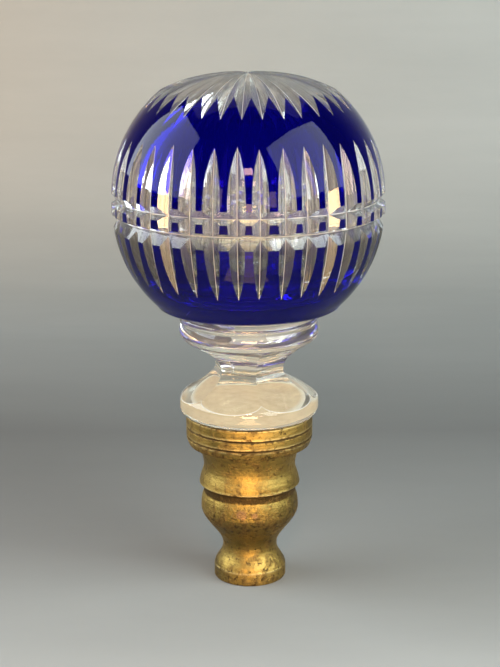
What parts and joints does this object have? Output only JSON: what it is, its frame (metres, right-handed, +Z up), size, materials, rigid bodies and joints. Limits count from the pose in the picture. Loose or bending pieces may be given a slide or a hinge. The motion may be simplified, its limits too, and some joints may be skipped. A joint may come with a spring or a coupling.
{
  "type": "newel post finial",
  "caption": "Newel post finial: cobalt-cased cut crystal ball on a hexagonal crystal stem, bedded on a turned brass mount.",
  "frame": {"origin": "middle of the brass mount's underside", "axes": "+Z up along the turned axis, -Y towards the front of the picture"},
  "size_m": [0.1, 0.1, 0.1924],
  "materials": {
    "cased_crystal": "polished, cobalt casing cut through to clear crystal",
    "plaster": "matte, aged beige plaster",
    "aged_brass": "worn polish with dark patina in the hollows"
  },
  "bodies": {
    "root": {"crystal_finial": "cased_crystal", "plaster_bed": "plaster", "brass_mount": "aged_brass"}
  },
  "joints": []
}
